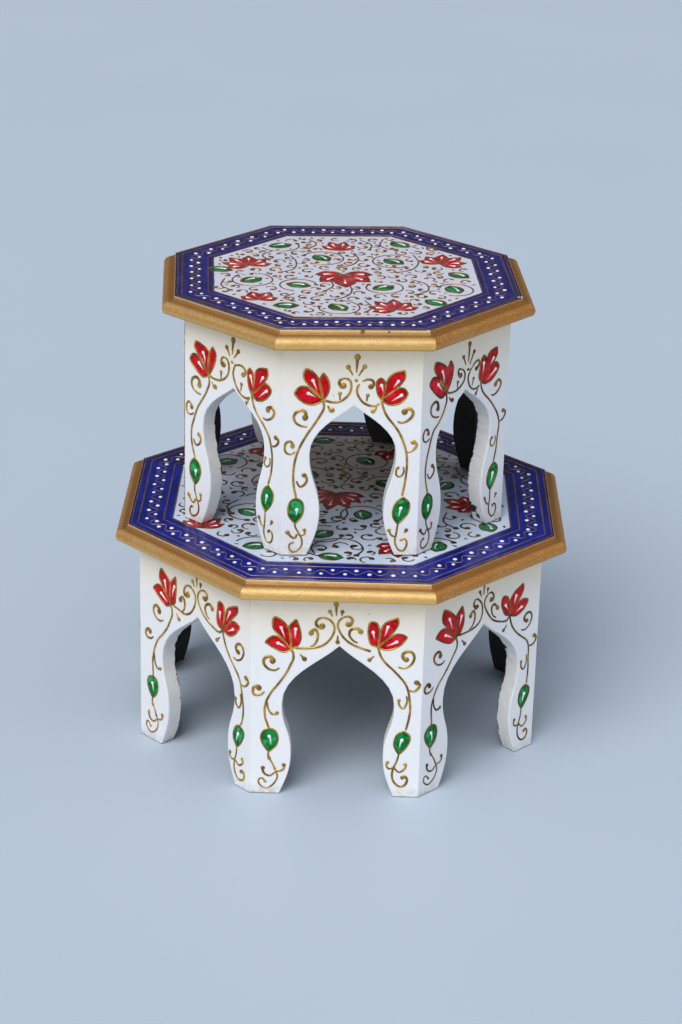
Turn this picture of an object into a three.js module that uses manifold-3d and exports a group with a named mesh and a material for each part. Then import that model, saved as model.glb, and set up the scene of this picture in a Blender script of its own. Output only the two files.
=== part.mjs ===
// A nesting pair of octagonal bajot tables, the small one standing on the large one.
// Millimetres, +Z up. The origin is on the floor under the middle of the large table, and its front side
// faces -Y. Each table is a routed top board, eight arched side panels mitred to each other, and a
// headless pin through the board into the crown of each panel.

import * as THREE from 'three';
import * as BufferGeometryUtils from 'three/addons/utils/BufferGeometryUtils.js';
import Module from 'manifold-3d';

const wasm = await Module();
wasm.setup();

// Driving sizes of the large table

const largeTable = {
  name: 'large',
  height: 134.2,
  boardAcross: 254,
  boardThickness: 10,
  overhang: 13.1, // from the panels' outer faces to the board's outermost edge
  panelThickness: 10,
  crownHeight: 31.5, // wood left above the arch's point
  footWidth: 15.2, // half a foot, on the one panel, at the floor
  bellyWidth: 21.6, // the same half leg at its widest
  neckWidth: 16.2, // and at its narrowest, under the arch's shoulder
  bellyHeightShare: 0.277, // of the arch's height
  neckHeightShare: 0.606,
  footHandleShares: [0.57, 0.34, 0.41], // inwards, upwards, and down from the belly
  legHandleShares: [0.49, 0.48],
  shoulderHandleShares: [0.5, 0.35, 0.7], // upwards, then across and up towards the point
  archShifts: { front: 1.2, front_right: 1.2, front_left: 2.8 }, // hand-cut arches off their panel's middle
};

// Driving sizes of the small table

const smallTable = {
  name: 'small',
  height: 132.5,
  boardAcross: 205,
  boardThickness: 10,
  overhang: 12.55,
  panelThickness: 10,
  crownHeight: 34.8,
  footWidth: 12.9,
  bellyWidth: 19.8,
  neckWidth: 13.8,
  bellyHeightShare: 0.286,
  neckHeightShare: 0.68,
  footHandleShares: [0.47, 0.28, 0.36],
  legHandleShares: [0.46, 0.46],
  shoulderHandleShares: [0.51, 0.34, 0.76],
  archShifts: { front: 0.9 },
};

// Routed edge of both boards, from the painted field outwards

const lipWidth = 0.7;
const coveWidth = 1.8;
const coveDepth = 2.4;
const beadWidth = 4.9;
const beadRise = 4.2; // from the bead's widest level up to the bottom of the cove
const underInset = 3; // how far the underside draws in from the bead

// Making sizes of both tables

const edgeEasing = 0.4; // softening of the panels' sawn edges under the paint
const glueLine = 0.3; // between the mitred faces of neighbouring panels
const pinRadius = 0.7;
const pinLength = 25;
const pinSink = 2; // from the board's top down to the pin's head, filled and painted over
const pinClearance = 0.3;
const cutOverrun = 3;

// Place of the small table on the large one

const standGap = 0.3; // unevenness between its feet and the board that they stand on
const standShiftX = -1.6;
const standShiftY = 4.4;
const standTurnDegrees = 3.98;

// Counts and angles

const sideNames = [
  'front', 'front_right', 'right', 'back_right', 'back', 'back_left', 'left', 'front_left',
];
const sideCount = sideNames.length;
const sideAngle = (2 * Math.PI) / sideCount;
const archSegments = 8;
const coveSteps = 4;
const beadSteps = 10;
const underSteps = 5;
const pinSegments = 8;

// Finishes

const boardPaint = new THREE.MeshStandardMaterial({ color: 0x27287a, roughness: 0.25, metalness: 0 });
const panelPaint = new THREE.MeshStandardMaterial({ color: 0xe9ecf3, roughness: 0.3, metalness: 0 });
const pinSteel = new THREE.MeshStandardMaterial({ color: 0x8f8f8c, roughness: 0.4, metalness: 0.9 });

// Sizes that follow from the driving ones

function follow(table) {
  const boardApothem = table.boardAcross / 2;
  const frameApothem = boardApothem - table.overhang;
  const halfSide = frameApothem * Math.tan(sideAngle / 2);
  const panelHeight = table.height - table.boardThickness;
  const archHeight = panelHeight - table.crownHeight;
  return {
    boardApothem,
    frameApothem,
    halfSide,
    panelHeight,
    archHeight,
    bellyHeight: archHeight * table.bellyHeightShare,
    neckHeight: archHeight * table.neckHeightShare,
    footHalfGap: halfSide - table.footWidth,
    bellyHalfGap: halfSide - table.bellyWidth,
    neckHalfGap: halfSide - table.neckWidth,
    pinCircle: frameApothem - table.panelThickness / 2,
    pinTop: table.height - pinSink,
  };
}

// Solids for joining and cutting

function toSolid(geometry) {
  const bare = geometry.clone();
  bare.deleteAttribute('normal');
  bare.deleteAttribute('uv');
  const merged = BufferGeometryUtils.mergeVertices(bare);
  const index = merged.index.array;
  const corners = [];
  for (let i = 0; i < index.length; i += 3) {
    const [a, b, c] = [index[i], index[i + 1], index[i + 2]];
    if (a !== b && b !== c && c !== a) {
      corners.push(a, b, c);
    }
  }
  const vertProperties = new Float32Array(merged.attributes.position.array);
  const triVerts = new Uint32Array(corners);
  return new wasm.Manifold(new wasm.Mesh({ numProp: 3, vertProperties, triVerts }));
}

function toGeometry(solid) {
  const mesh = solid.getMesh();
  const geometry = new THREE.BufferGeometry();
  geometry.setAttribute('position', new THREE.BufferAttribute(mesh.vertProperties, 3));
  geometry.setIndex(new THREE.BufferAttribute(mesh.triVerts, 1));
  geometry.computeVertexNormals();
  return geometry;
}

// A pin, or with a clearance the hole that takes it, over the middle of the front panel

function pinGeometry(sizes, clearance) {
  const radius = pinRadius + clearance;
  const geometry = new THREE.CylinderGeometry(radius, radius, pinLength + 2 * clearance, pinSegments);
  geometry.rotateX(Math.PI / 2);
  geometry.translate(0, -sizes.pinCircle, sizes.pinTop - pinLength / 2);
  return geometry;
}

// Top board: an eight-sided turning, whose profile runs from the underside round the edge to the top

function boardProfile(table, sizes) {
  const bottom = sizes.panelHeight;
  const top = table.height;
  const beadOuter = sizes.boardApothem;
  const beadInner = beadOuter - beadWidth;
  const beadLevel = top - coveDepth - beadRise;
  const points = [new THREE.Vector2(0, bottom)];
  for (let i = 0; i <= underSteps; i += 1) {
    const turn = (Math.PI / 2) * (1 - i / underSteps);
    const out = beadOuter - underInset * (1 - Math.cos(turn));
    points.push(new THREE.Vector2(out, beadLevel - (beadLevel - bottom) * Math.sin(turn)));
  }
  for (let i = 1; i <= beadSteps; i += 1) {
    const turn = (Math.PI / 2) * (i / beadSteps);
    points.push(new THREE.Vector2(beadInner + beadWidth * Math.cos(turn), beadLevel + beadRise * Math.sin(turn)));
  }
  for (let i = 1; i <= coveSteps; i += 1) {
    const turn = (Math.PI / 2) * (1 - i / coveSteps);
    points.push(new THREE.Vector2(beadInner - coveWidth * Math.cos(turn), top - coveDepth * Math.sin(turn)));
  }
  const fieldApothem = beadInner - coveWidth - lipWidth;
  points.push(new THREE.Vector2(fieldApothem, top));
  points.push(new THREE.Vector2(0, top));
  return points;
}

function boardGeometry(table, sizes) {
  const cornerReach = 1 / Math.cos(sideAngle / 2);
  const profile = boardProfile(table, sizes).map((p) => new THREE.Vector2(p.x * cornerReach, p.y));
  const blank = new THREE.LatheGeometry(profile, sideCount, sideAngle / 2);
  blank.rotateX(Math.PI / 2);
  let board = toSolid(blank);
  for (let k = 0; k < sideCount; k += 1) {
    const hole = pinGeometry(sizes, pinClearance).rotateZ(k * sideAngle);
    board = board.subtract(toSolid(hole));
  }
  return toGeometry(board);
}

// Outline of a panel, as seen from outside, with x across it from its middle and y up from the floor.
// The outline runs past both mitres, which are cut afterwards.

function panelShape(table, sizes, archShift) {
  const reach = sizes.halfSide + cutOverrun;
  const [footIn, footUp, footDown] = table.footHandleShares;
  const [legUp, legDown] = table.legHandleShares;
  const [shoulderUp, pointAcross, pointUp] = table.shoulderHandleShares;
  const { footHalfGap, bellyHalfGap, neckHalfGap, bellyHeight, neckHeight, archHeight } = sizes;
  const footDraw = footHalfGap - footIn * (footHalfGap - bellyHalfGap);
  const legRise = neckHeight - bellyHeight;
  const shoulderRise = archHeight - neckHeight;
  const nearPoint = neckHeight + pointUp * shoulderRise;
  const at = (across) => across + archShift;

  const shape = new THREE.Shape();
  shape.moveTo(reach, 0);
  shape.lineTo(reach, sizes.panelHeight);
  shape.lineTo(-reach, sizes.panelHeight);
  shape.lineTo(-reach, 0);
  shape.lineTo(at(-footHalfGap), 0);
  shape.bezierCurveTo(
    at(-footDraw), footUp * bellyHeight,
    at(-bellyHalfGap), (1 - footDown) * bellyHeight,
    at(-bellyHalfGap), bellyHeight,
  );
  shape.bezierCurveTo(
    at(-bellyHalfGap), bellyHeight + legUp * legRise,
    at(-neckHalfGap), neckHeight - legDown * legRise,
    at(-neckHalfGap), neckHeight,
  );
  shape.bezierCurveTo(
    at(-neckHalfGap), neckHeight + shoulderUp * shoulderRise,
    at(-pointAcross * neckHalfGap), nearPoint,
    at(0), archHeight,
  );
  shape.bezierCurveTo(
    at(pointAcross * neckHalfGap), nearPoint,
    at(neckHalfGap), neckHeight + shoulderUp * shoulderRise,
    at(neckHalfGap), neckHeight,
  );
  shape.bezierCurveTo(
    at(neckHalfGap), neckHeight - legDown * legRise,
    at(bellyHalfGap), bellyHeight + legUp * legRise,
    at(bellyHalfGap), bellyHeight,
  );
  shape.bezierCurveTo(
    at(bellyHalfGap), (1 - footDown) * bellyHeight,
    at(footDraw), footUp * bellyHeight,
    at(footHalfGap), 0,
  );
  shape.closePath();
  return shape;
}

// Wedge from the table's middle that a panel is cut to, half a glue line inside each mitre plane

function mitreWedge(sizes) {
  const tip = glueLine / 2 / Math.sin(sideAngle / 2);
  const reach = sizes.frameApothem + cutOverrun;
  const halfWidth = (reach - tip) * Math.tan(sideAngle / 2);
  const plan = new THREE.Shape();
  plan.moveTo(0, -tip);
  plan.lineTo(-halfWidth, -reach);
  plan.lineTo(halfWidth, -reach);
  plan.closePath();
  const depth = sizes.panelHeight + 2 * cutOverrun;
  const wedge = new THREE.ExtrudeGeometry(plan, { depth, bevelEnabled: false });
  wedge.translate(0, 0, -cutOverrun);
  return toSolid(wedge);
}

function panelGeometry(table, sizes, archShift) {
  const slab = new THREE.ExtrudeGeometry(panelShape(table, sizes, archShift), {
    depth: table.panelThickness - 2 * edgeEasing,
    curveSegments: archSegments,
    bevelThickness: edgeEasing,
    bevelSize: edgeEasing,
    bevelOffset: -edgeEasing,
    bevelSegments: 1,
  });
  slab.rotateX(Math.PI / 2);
  slab.translate(0, table.panelThickness - edgeEasing - sizes.frameApothem, 0);
  const panel = toSolid(slab).intersect(mitreWedge(sizes));
  return toGeometry(panel.subtract(toSolid(pinGeometry(sizes, pinClearance))));
}

// One whole table, standing at its group's origin

function makeTable(table) {
  const sizes = follow(table);
  const group = new THREE.Group();

  const board = new THREE.Mesh(boardGeometry(table, sizes), boardPaint.clone());
  board.name = `${table.name}_top_board`;
  group.add(board);

  sideNames.forEach((side, k) => {
    const panel = panelGeometry(table, sizes, table.archShifts[side] ?? 0);
    const mesh = new THREE.Mesh(panel, panelPaint.clone());
    mesh.name = `${table.name}_${side}_panel`;
    mesh.rotation.z = k * sideAngle;
    group.add(mesh);

    const pin = new THREE.Mesh(pinGeometry(sizes, 0), pinSteel.clone());
    pin.name = `${table.name}_${side}_pin`;
    pin.rotation.z = k * sideAngle;
    group.add(pin);
  });
  return group;
}

const pair = new THREE.Group();
pair.add(makeTable(largeTable));

const small = makeTable(smallTable);
small.position.set(standShiftX, standShiftY, largeTable.height + standGap);
small.rotation.z = THREE.MathUtils.degToRad(standTurnDegrees);
pair.add(small);

pair.updateMatrixWorld(true);

export default pair;
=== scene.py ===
import math
import random

import bmesh
import bpy
from mathutils import Matrix, Vector


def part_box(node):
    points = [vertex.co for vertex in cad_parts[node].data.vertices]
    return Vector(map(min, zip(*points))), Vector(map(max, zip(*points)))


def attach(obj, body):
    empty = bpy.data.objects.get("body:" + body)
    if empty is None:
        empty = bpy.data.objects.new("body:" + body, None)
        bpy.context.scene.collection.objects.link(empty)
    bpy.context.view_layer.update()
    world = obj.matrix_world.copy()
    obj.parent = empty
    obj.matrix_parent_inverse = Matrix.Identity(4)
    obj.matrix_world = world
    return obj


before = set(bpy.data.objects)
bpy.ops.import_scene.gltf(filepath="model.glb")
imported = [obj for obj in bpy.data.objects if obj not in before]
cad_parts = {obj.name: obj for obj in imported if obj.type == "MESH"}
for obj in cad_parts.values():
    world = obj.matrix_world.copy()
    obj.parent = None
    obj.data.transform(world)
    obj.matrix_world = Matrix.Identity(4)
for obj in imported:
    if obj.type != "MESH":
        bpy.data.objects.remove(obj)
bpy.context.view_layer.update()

# A nest of two low eight-sided tables in white, ultramarine and gold, the smaller on the larger. Their
# tops and panels carry raised vines, lotus flowers and buds, drawn here in millimetres and placed on the
# frame.

MM = 0.001
SIDES = ["front", "front_right", "right", "back_right", "back", "back_left", "left", "front_left"]
SIDE_ANGLE = 2 * math.pi / len(SIDES)
SMALL_TURN = math.radians(3.98)
GOLD_EDGE = 7.4  # from the rim of the painted field out to the edge of the board, in millimetres
# How far the gold is browned on each edge, as painted shade away from the lit front, from the right one
# by the back to the front and the front right one
SIDE_GOLD_SHADE_SHARES = [0.85, 0.6, 0.5, 0.6, 0.85, 0.4, 0.0, 0.95]

# Raised lines: how they are swept, and how high they stand for their width

LINE_STEP = 0.8
RING_GAP = 0.08  # rings that are closer than this are one
LOOK = 0.3  # how far before and behind a ring the heading of its line is taken
ARCH_STEPS = 6
SPLINE_STEPS = 6
ARC_STEP = 25  # in degrees
DOME_RINGS = 4
DOME_TIP = 0.05  # the size of a dome's last ring
SINK = 0.04  # how far a line reaches into the face that it lies on
HEIGHT_SHARE = 0.32  # of its width, and never above the cap of its face
PANEL_CAP = 0.55
SMALL_TOP_CAP = 0.36
LARGE_TOP_CAP = 0.26  # lower, as the small table's feet stand 0.3 above the large board
ROUND_TURNS = [8, 30, 55, 80, 105, 130, 155, 172]  # where a line's round end has its rings, in degrees

# The drawing of a large panel, from its middle and its foot. Petals and buds have one side from base to
# tip, the inner points of the other side from the tip back, and a white stroke. Curls and drops have the
# radius of the dot at their end first.

LARGE_DRAWN = (47.2, 124.2)  # half the width and the height of the drawn panel
LARGE_PETALS = [
    dict(out=[(-25.3, 90.3), (-29, 88.3), (-33.5, 90), (-39.5, 94)],
         back=[(-36.5, 97.3), (-33, 98), (-29, 94.8)],
         glint=[(-27.8, 91), (-30, 92.6), (-33.4, 94.3)]),
    dict(out=[(-25.3, 90.3), (-30, 96.5), (-34.8, 102), (-35.6, 107), (-34.5, 109.8)],
         back=[(-30.5, 107.5), (-27, 103), (-25.2, 97)],
         glint=[(-28.6, 96.8), (-29.8, 100.3), (-31.2, 104.2)]),
    dict(out=[(-25.3, 90.3), (-26, 98), (-26.4, 104), (-22.7, 108.3)],
         back=[(-20.8, 103), (-20, 97.5), (-21.5, 92.8)],
         glint=[(-23.3, 96.6), (-23.1, 100), (-22.9, 103.6)]),
    dict(out=[(22.2, 93), (18.5, 94.3), (17, 98), (16.7, 103), (17.2, 107.2), (19, 108.3)],
         back=[(21.8, 106.5), (22.8, 101)],
         glint=[(20.2, 97.6), (19.7, 100), (19.1, 103)]),
    dict(out=[(22.2, 93), (23.3, 99), (23.8, 104), (26.5, 108), (32.5, 111)],
         back=[(33, 107.5), (30.5, 102.5), (26.5, 97.5)],
         glint=[(25.6, 99.4), (26.5, 102.6), (27.6, 106.4)]),
    dict(out=[(22.2, 93), (27, 97.5), (31.5, 100.8), (35.5, 100.8), (38, 99.3)],
         back=[(35.5, 95.5), (31, 92.3), (26.5, 91.3)],
         glint=[(26.8, 93.7), (29.5, 95), (33.2, 97)]),
]
LARGE_BUDS = [
    dict(out=[(-36.5, 41.2), (-33, 39.5), (-31.7, 35), (-33, 30), (-36.8, 26.3)],
         back=[(-40, 31), (-41.3, 35.5), (-39.8, 39.5)],
         glint=[(-35.7, 31.2), (-35.8, 34), (-36.9, 37.2)]),
    dict(out=[(38, 41.8), (41.3, 39), (41.2, 35), (38.5, 30), (35.5, 27)],
         back=[(33, 31.5), (33, 36), (34.8, 40)],
         glint=[(36, 31.4), (36.3, 34), (37.5, 37.2)]),
]
LARGE_VINES = [
    [(-25.2, 90.1), (-24, 87.5), (-24, 84), (-25.5, 80.5), (-28, 75), (-31.5, 69.5), (-35.5, 64),
     (-38.2, 58.5), (-39.3, 53.5), (-39, 48), (-37.8, 44), (-36.8, 41)],
    [(22.2, 93), (24, 87.2), (27, 83), (30.8, 79.3), (34.5, 75.3), (37.8, 71), (39.6, 66.5), (40.5, 61),
     (41, 55.5), (40.4, 49), (39, 42.3)],
    [(18.5, 90.2), (13, 92), (8, 94.2), (4, 97.3), (1.2, 101.3), (0, 105), (0.6, 108), (2.8, 110.3)],
    [(-23, 91), (-17, 91), (-12, 91.6), (-7.5, 93.4), (-4, 97), (-2, 101.5), (-2.2, 105.6), (-4.6, 108.6),
     (-8, 109.9)],
]
LARGE_SIDE_VINES = LARGE_VINES + [[(18.5, 90.2), (20.6, 90.8), (22.2, 92.8)]]
LARGE_CURLS = [
    (1.9, [(-8, 109.9), (-10.8, 108.8), (-12, 106.4), (-11.1, 104.6), (-9.2, 104.2), (-7.4, 106)]),
    (1.6, [(-14.8, 91.9), (-12.4, 93.7), (-10.9, 97), (-11, 100.6), (-12.4, 102.6), (-14, 101.4),
           (-14.8, 98.8)]),
    (1.8, [(-31.4, 78.7), (-34, 77.1), (-37.4, 77.8), (-40, 80.8), (-39.8, 84), (-37.4, 85.4),
           (-35.4, 84.4), (-35.4, 81)]),
    (1.7, [(-39.3, 64), (-41.6, 61.9), (-44.6, 61.6), (-46.2, 63.4), (-45.6, 66), (-43.4, 67),
           (-42, 64.4)]),
    (1.2, [(-38, 57.5), (-37.4, 53.4), (-35.4, 50.2), (-33.2, 50.2), (-31.8, 51.6)]),
    (1.1, [(-36.8, 27), (-37, 24), (-36, 21.4)]),
    (0.9, [(-36.4, 22.4), (-34.6, 19), (-33, 15.2)]),
    (0.9, [(-33, 15.2), (-31.8, 10.6), (-34.2, 5.8), (-38.5, 3.5), (-42, 6.2), (-42, 9), (-40.2, 9.6),
           (-38, 6.8)]),
    (1.2, [(-33, 14.4), (-30, 14.6), (-28, 16.6), (-28.6, 19.4)]),
    (1.25, [(-33, 13.8), (-35.6, 11.5), (-38.4, 12.1), (-40, 14.6), (-39.6, 17.4)]),
    (1.8, [(2.8, 110.3), (5.6, 110.9), (7.8, 109.2), (7.5, 107), (6, 106.2), (4.2, 107)]),
    (1.6, [(11.1, 95.2), (8.6, 96.4), (6.5, 99.3), (6.7, 102.2), (8.8, 103.8), (11.4, 103.4),
           (13.2, 100.6)]),
    (1.6, [(33.4, 81.2), (37, 80.5), (40.6, 82.8), (42.3, 86.8), (41.2, 90), (38.6, 90.8), (36, 89.2),
           (36.4, 86.4), (39.4, 85.6)]),
    (1.6, [(39.4, 67.2), (42.6, 66.5), (45, 68.4), (45.7, 70.8), (42.6, 72.6)]),
    (1.1, [(38.6, 63.6), (39.2, 60.2), (37.8, 56.2), (36, 56.2), (34.6, 58.8), (34.8, 61.8)]),
    (1.25, [(35.6, 27), (34.6, 22.6), (33, 18.6), (32.2, 14), (33.2, 9.8), (36.2, 6.9), (39.4, 7.6),
            (40.8, 10.8), (39.4, 13.2), (37.2, 11.6)]),
    (1.1, [(32.8, 18.6), (30.4, 17.8), (28.9, 20), (30, 22.8)]),
    (1.15, [(33.2, 18.6), (35.8, 15.9), (38.4, 17.2), (39.8, 19.4), (38.9, 21.8)]),
]
LARGE_DROPS = [
    (1.45, [(-20.4, 87.4), (-16.9, 83.4)]),
    (1.3, [(20.4, 87.6), (16.8, 84.2)]),
    (1.5, [(-0.9, 111), (-1.2, 119.5)]),
    (1.25, [(-2.9, 110.5), (-5.1, 114.5)]),
    (1.2, [(2, 111), (2.4, 114.8)]),
    (1.3, [(0, 99.4), (0.1, 93.9)]),
]

# The drawing of a small panel

SMALL_DRAWN = (37.3, 122.5)
SMALL_PETALS = [
    dict(out=[(-16, 91), (-20, 88.6), (-25, 89), (-29, 91.6), (-31.5, 94.8)],
         back=[(-29, 98.3), (-25, 98.7), (-20.5, 95)],
         glint=[(-19.8, 92.8), (-22, 94), (-24.8, 95.4)]),
    dict(out=[(-16, 91), (-21, 97), (-25.5, 101.5), (-26.7, 105.5), (-25.5, 109)],
         back=[(-22, 107.3), (-18.5, 103), (-16.5, 97)],
         glint=[(-19.2, 96.4), (-20.4, 99.6), (-21.9, 103.2)]),
    dict(out=[(-16, 91), (-17.3, 97), (-18.2, 102), (-16, 106.5)],
         back=[(-13.5, 103), (-12.6, 98.5), (-13.8, 94)],
         glint=None),
    dict(out=[(15.5, 91.3), (13.6, 94), (12.7, 98), (12.8, 101.8), (14.7, 103.8)],
         back=[(16.9, 101.8), (17.3, 97)],
         glint=[(16.3, 95.4), (15.8, 98), (14.9, 100.6)]),
    dict(out=[(15.5, 91.3), (17.5, 98), (18.7, 103), (22, 106.5), (27.5, 108)],
         back=[(27.8, 104), (25, 99.5), (20.5, 95)],
         glint=[(21.6, 98), (23, 100.2), (24.8, 102.8)]),
    dict(out=[(15.5, 91.3), (20.5, 95.3), (24.5, 98), (27.7, 97.6), (29.7, 94.8)],
         back=[(27.5, 91), (23.5, 88.6), (19, 88.8)],
         glint=[(20.8, 90.5), (23.5, 92.3), (27, 94.6)]),
]
SMALL_BUDS = [
    dict(out=[(-29.5, 34.3), (-26.3, 32), (-25.3, 27.5), (-26.8, 22.5), (-29.8, 19)],
         back=[(-33, 23), (-33.9, 27.5), (-32.6, 32)],
         glint=[(-29.3, 23.8), (-29, 26), (-29, 28.4)]),
    dict(out=[(29, 35), (32.3, 31.5), (32.3, 27), (30, 22.5), (26.5, 18.8)],
         back=[(24, 22.5), (23.6, 27), (25.5, 32)],
         glint=[(26.9, 23.2), (27.4, 26), (28.2, 29.4)]),
]
SMALL_VINES = [
    [(-16, 91), (-15.4, 86.5), (-17.5, 82), (-20.5, 77), (-24, 71.5), (-27.5, 65), (-30, 58), (-31.2, 50),
     (-31, 42), (-29.5, 34.5)],
    [(15.5, 91.3), (16.8, 86), (19, 81.5), (22.2, 77.4), (25.6, 72.5), (28.4, 66), (30, 60), (30.4, 53),
     (29.7, 44), (28.3, 35.5)],
    [(-15, 91), (-12, 90), (-8, 90), (-4.6, 91.7), (-1.8, 95), (-0.9, 99), (-1.7, 102.2), (-4, 103.6)],
    [(14.5, 89.2), (11.5, 87.9), (8.2, 88.3), (5, 90.4), (2.8, 93.8), (2.1, 97), (3.3, 100.4)],
]
SMALL_SIDE_VINES = SMALL_VINES + [[(3.3, 100.4), (3.9, 101.3), (4.8, 101.8)]]
SMALL_CURLS = [
    (1.9, [(-4, 103.6), (-6.6, 102.9), (-7.5, 101), (-6.5, 99.4), (-3.5, 99.4)]),
    (1.75, [(-24, 75.8), (-27, 76), (-30.2, 77.8), (-31.5, 81), (-30.2, 84), (-27, 85.2), (-25.1, 83.4),
            (-25.7, 79.3)]),
    (1.35, [(-30.3, 61.4), (-33, 59.8), (-35.6, 61), (-36.2, 64), (-35, 66.8), (-32.8, 67), (-31.9, 65),
            (-32.3, 63.2)]),
    (1.4, [(-29.6, 44.3), (-28.4, 41.8), (-27.3, 40.8), (-25, 42.2), (-23.8, 44.8), (-24.6, 47),
           (-26.6, 48.2)]),
    (0.9, [(-30, 19), (-29.5, 16.5), (-27.5, 13), (-26, 9.5), (-26.2, 5.8), (-28.3, 3), (-31, 2.2),
           (-32.8, 4), (-32.5, 7), (-30.2, 8)]),
    (1.35, [(-28.8, 13), (-29.6, 10.6), (-31.8, 11.2), (-34.6, 14.8)]),
    (1.05, [(-28.4, 12.6), (-26, 12.2), (-24.4, 13.2), (-25, 16.4)]),
    (1.55, [(4.8, 101.8), (7.6, 102.9), (10.4, 102.3), (11, 99.8), (8.1, 98.2)]),
    (1.8, [(24.4, 79), (26.5, 78.2), (29.5, 79.2), (32, 81.5), (32.8, 84.2), (31, 86.2), (29, 85.6),
           (27.2, 83)]),
    (1.5, [(30.2, 61.2), (33, 62), (35.3, 64.8), (34.6, 66.6), (31.9, 67.3)]),
    (0.95, [(28.5, 52.8), (28.8, 49.8), (27.6, 47.4), (25.6, 47), (24.3, 49.2), (24.8, 51.6),
            (26.5, 52.3)]),
    (0.95, [(26.5, 18.8), (25.8, 13), (25.2, 9), (26, 5.5), (28, 3), (30.5, 3.5), (31.8, 6.5),
            (31.4, 9.2), (29.8, 10.3), (28.1, 8.8)]),
    (1.15, [(25.2, 11.2), (23, 12.4), (21.3, 16.2)]),
]
SMALL_DROPS = [
    (1.6, [(-13.4, 88), (-12.2, 85.8), (-9.6, 85.1)]),
    (1.35, [(12.9, 87.8), (12.4, 85.8), (9.8, 84.2)]),
    (1.15, [(-6.9, 90.8), (-7, 96)]),
    (1.1, [(7.4, 90.3), (8.2, 95)]),
    (1.8, [(1.6, 106.5), (2.1, 117.2)]),
    (1.4, [(-0.2, 105.2), (-3.5, 111)]),
    (1.35, [(2.8, 104.8), (6.7, 111.3)]),
    (1.0, [(0.5, 102.6), (2.6, 102.1)]),
    (1.15, [(30.2, 13.4), (31.9, 16.2)]),
]

# How the hand-drawn panels differ: a pull at each of these places, and in between a blend of the pulls

LARGE_PLACES = [
    (-25, 90), (-39.5, 94), (-34.5, 109.5), (-22.5, 108), (0, 108), (22, 93), (19, 108), (32.5, 111),
    (37.5, 99.5), (-37.5, 81), (-44, 64), (-35, 51), (-36.5, 35), (-36, 9), (39, 86), (44, 69),
    (37.5, 58), (37, 35.5), (37, 10), (-14, 100.5),
]
SMALL_PLACES = [
    (-16, 91), (-31, 94.5), (-25.5, 109), (-16, 106), (0.5, 105), (16, 91.5), (14, 104), (27.5, 107.5),
    (29, 94.5), (-28.5, 80), (-34.5, 63), (-27, 44), (-29.5, 27), (-30, 6), (30.5, 82), (33, 63),
    (26.5, 49), (28, 27), (29, 7),
]
STILL = [(0, 0)] * len(LARGE_PLACES)
PULLS = {
    "large_front": STILL,
    "large_front_left": [
        (5, 2), (4, 4), (6, 2.5), (7, 3), (3, 0), (1.5, 0), (3, 1), (3.5, 0), (0, 0), (5, 2), (4, 3.5),
        (3, -2), (0, 1), (0, 1), (-1, -2), (-0.5, -1.5), (0.5, -6), (0.5, -2.5), (2, -2), (2.5, -2),
    ],
    "large_front_right": [
        (3.5, 1), (1.5, 2), (2.5, 1.5), (5.5, 1), (0.5, 0), (0, -1.5), (-2, -3.5), (0, -3), (-0.5, -3),
        (1.5, 1.5), (1, 2.5), (0, 1), (-2.5, 2), (-1, 2), (-1, -2.5), (0.5, 0), (-0.5, -3), (1, 0.5),
        (2, -0.5), (4, 1),
    ],
    "small_front": STILL,
    "small_front_left": [
        (-3, -0.5), (-2, 2), (-3.5, -1), (0.5, 1.5), (-2.5, 0.5), (-1.5, -3.5), (-2, -1), (-2, -2.5),
        (-1, -1), (-0.5, 2), (0, 4), (-1, 6), (0.5, 4), (-0.5, 1), (-2, -2), (-1, 1), (-0.5, 2.5),
        (-1.5, 4), (-1, 2),
    ],
    "small_front_right": [
        (-1, -1), (0, 3.5), (-1.5, 1), (2, 1.5), (-0.5, -3.5), (-3, -2), (0, 0.5), (-1.5, -2), (-1, -0.5),
        (2, 2), (1, 6), (-1, 2.5), (0, 0), (-1, 0.5), (-2, 0), (1, -0.5), (-0.5, 0.5), (-1, 2.5), (0, 1),
    ],
}
PULL_REACH = 5.0
OWN_PULL = 2.4  # the most that a panel without a list of its own differs by

# The panels' lines in millimetres. A line that ends in a dot is as wide there as DOT_SHARE says, for the
# radius of the dot. Petals and buds have an outline, a white stroke and a rise, and the stroke starts and
# ends by shares of its width.

EDGE_MARGIN = 0.5
VINE_WIDTHS = (1.45, 1.35)
VINE_DOT = 0.85
CURL_START = 1.1
DROP_START = 0.85
DOT_SHARE = 1.3
PANEL_PETAL = (1.05, 1.45, 0.34)
PANEL_BUD = (1.0, 1.55, 0.42)
GLINT_START = 0.55
GLINT_DOT = 0.74
GLINT_BASE = 0.85  # of the rise of the paint that it lies on
SHADED_GOLD_SIDES = (1, 2)  # their gold is painted darker, as painted shade on that side, and their lines are finer by the share below
FINE_SHARE = 0.85
MITRE_HALF = 0.22  # half the width of the paint in a mitre
MITRE_END = 0.3  # how far it stops short of the foot and of the board
MITRE_DEPTHS = (0.01, 0.1, 4)  # below the corner: its edge, its shoulders and its bottom

# The drawings of the two tops, from the middle: flowers as (x, y, heading, petals, length, spread), and
# leaves as (x, y, heading, radius of the scroll around it, or nought for none)

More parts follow.
